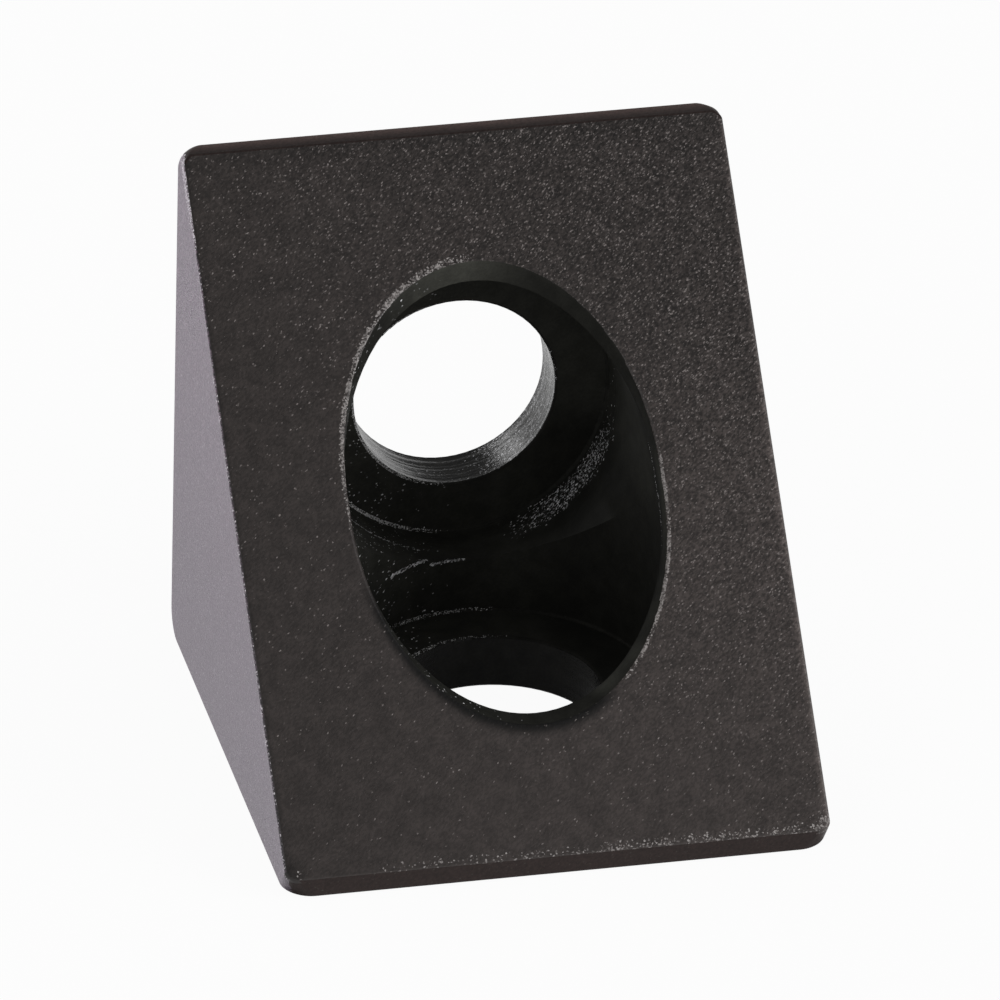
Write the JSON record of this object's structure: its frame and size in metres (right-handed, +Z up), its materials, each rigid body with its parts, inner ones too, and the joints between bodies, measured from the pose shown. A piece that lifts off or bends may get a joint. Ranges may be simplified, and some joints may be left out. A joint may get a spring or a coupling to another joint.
{
  "type": "t slot corner bracket",
  "caption": "Solid right-angle wedge that screws T-slot profiles together in their inside corner, with crossing counterbored screw holes that open through its sloping face.",
  "frame": {"origin": "middle of the base seat's square outline, on the axis of the base screw hole, where the bracket rests", "axes": "+Z up out of the base seat, +Y out of the upright seat, X across the bracket; the sloping face looks towards -Y and +Z"},
  "size_m": [0.02, 0.02, 0.02],
  "materials": {
    "black_anodised_aluminium": "bead-blasted and black anodised, matt with a fine metallic sparkle"
  },
  "bodies": {
    "root": {"corner_bracket": "black_anodised_aluminium"}
  },
  "joints": []
}
